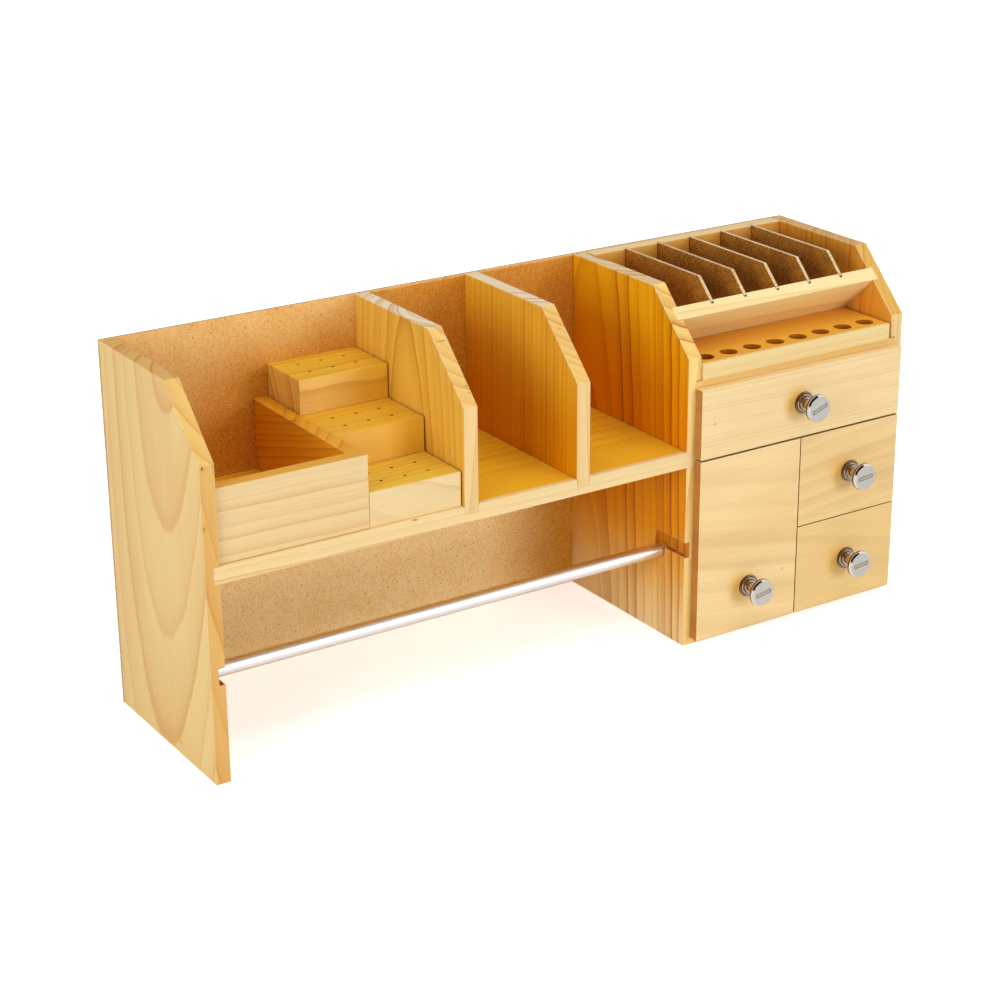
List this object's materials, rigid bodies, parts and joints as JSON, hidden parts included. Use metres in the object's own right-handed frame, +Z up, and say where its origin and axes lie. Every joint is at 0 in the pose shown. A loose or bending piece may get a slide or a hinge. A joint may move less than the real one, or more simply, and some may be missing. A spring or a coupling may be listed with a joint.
{
  "type": "benchtop workbench",
  "caption": "Wooden benchtop workbench organiser with shelf bays, parts bin, stepped bur blocks, hanging rod, drawers, tool strip and lift-out dividers.",
  "frame": {"origin": "on the bench top, under the middle of the whole assembly", "axes": "+X along the length towards the cabinet, -Y towards the user, +Z up"},
  "size_m": [0.695, 0.2064, 0.3185],
  "materials": {
    "pine": "bare planed pine",
    "front_pine": "bare planed pine, paler faces",
    "back_hardboard": "flecked brown hardboard",
    "divider_hardboard": "dark brown hardboard with pale sawn edges",
    "drawer_hardboard": "brown hardboard",
    "knob_nickel": "polished nickel",
    "screw_steel": "zinc plated",
    "rod_aluminium": "bright drawn"
  },
  "bodies": {
    "carcass": {"left_end_panel": "pine", "cabinet_left_panel": "pine", "right_end_panel": "pine", "left_partition": "pine", "right_partition": "pine", "shelf": "pine", "back_panel": "back_hardboard", "bin_front": "pine", "bin_side": "pine", "lower_bur_block": "pine", "middle_bur_block": "pine", "upper_bur_block": "pine", "cabinet_deck": "pine", "cabinet_middle_board": "pine", "cabinet_bottom_board": "pine", "cabinet_upright": "pine", "small_drawer_shelf": "pine", "tool_strip": "pine", "divider_rest": "pine", "divider_back_rail": "pine"},
    "top_drawer": {"top_drawer_front": "front_pine", "top_drawer_left_side": "pine", "top_drawer_right_side": "pine", "top_drawer_back": "pine", "top_drawer_bottom": "drawer_hardboard", "top_drawer_knob": "knob_nickel", "top_drawer_knob_screw": "screw_steel"},
    "tall_drawer": {"tall_drawer_front": "front_pine", "tall_drawer_left_side": "pine", "tall_drawer_right_side": "pine", "tall_drawer_back": "pine", "tall_drawer_bottom": "drawer_hardboard", "tall_drawer_knob": "knob_nickel", "tall_drawer_knob_screw": "screw_steel"},
    "upper_small_drawer": {"upper_small_drawer_front": "front_pine", "upper_small_drawer_left_side": "pine", "upper_small_drawer_right_side": "pine", "upper_small_drawer_back": "pine", "upper_small_drawer_bottom": "drawer_hardboard", "upper_small_drawer_knob": "knob_nickel", "upper_small_drawer_knob_screw": "screw_steel"},
    "lower_small_drawer": {"lower_small_drawer_front": "front_pine", "lower_small_drawer_left_side": "pine", "lower_small_drawer_right_side": "pine", "lower_small_drawer_back": "pine", "lower_small_drawer_bottom": "drawer_hardboard", "lower_small_drawer_knob": "knob_nickel", "lower_small_drawer_knob_screw": "screw_steel"},
    "hanging_rod": {"hanging_rod": "rod_aluminium"},
    "divider_1": {"divider_1": "divider_hardboard"},
    "divider_2": {"divider_2": "divider_hardboard"},
    "divider_3": {"divider_3": "divider_hardboard"},
    "divider_4": {"divider_4": "divider_hardboard"},
    "divider_5": {"divider_5": "divider_hardboard"}
  },
  "joints": [
    {"name": "top_drawer_slide", "type": "slide", "parent": "carcass", "child": "top_drawer", "axis": [0, -1, 0], "range_m": [0, 0.13]},
    {"name": "tall_drawer_slide", "type": "slide", "parent": "carcass", "child": "tall_drawer", "axis": [0, -1, 0], "range_m": [0, 0.13]},
    {"name": "upper_small_drawer_slide", "type": "slide", "parent": "carcass", "child": "upper_small_drawer", "axis": [0, -1, 0], "range_m": [0, 0.13]},
    {"name": "lower_small_drawer_slide", "type": "slide", "parent": "carcass", "child": "lower_small_drawer", "axis": [0, -1, 0], "range_m": [0, 0.13]},
    {"name": "rod_lift", "type": "slide", "parent": "carcass", "child": "hanging_rod", "axis": [0, 0, 1], "range_m": [0, 0.01115]},
    {"name": "divider_1_lift", "type": "slide", "parent": "carcass", "child": "divider_1", "axis": [0, 0, 1], "range_m": [0, 0.08]},
    {"name": "divider_2_lift", "type": "slide", "parent": "carcass", "child": "divider_2", "axis": [0, 0, 1], "range_m": [0, 0.08]},
    {"name": "divider_3_lift", "type": "slide", "parent": "carcass", "child": "divider_3", "axis": [0, 0, 1], "range_m": [0, 0.08]},
    {"name": "divider_4_lift", "type": "slide", "parent": "carcass", "child": "divider_4", "axis": [0, 0, 1], "range_m": [0, 0.08]},
    {"name": "divider_5_lift", "type": "slide", "parent": "carcass", "child": "divider_5", "axis": [0, 0, 1], "range_m": [0, 0.08]}
  ]
}
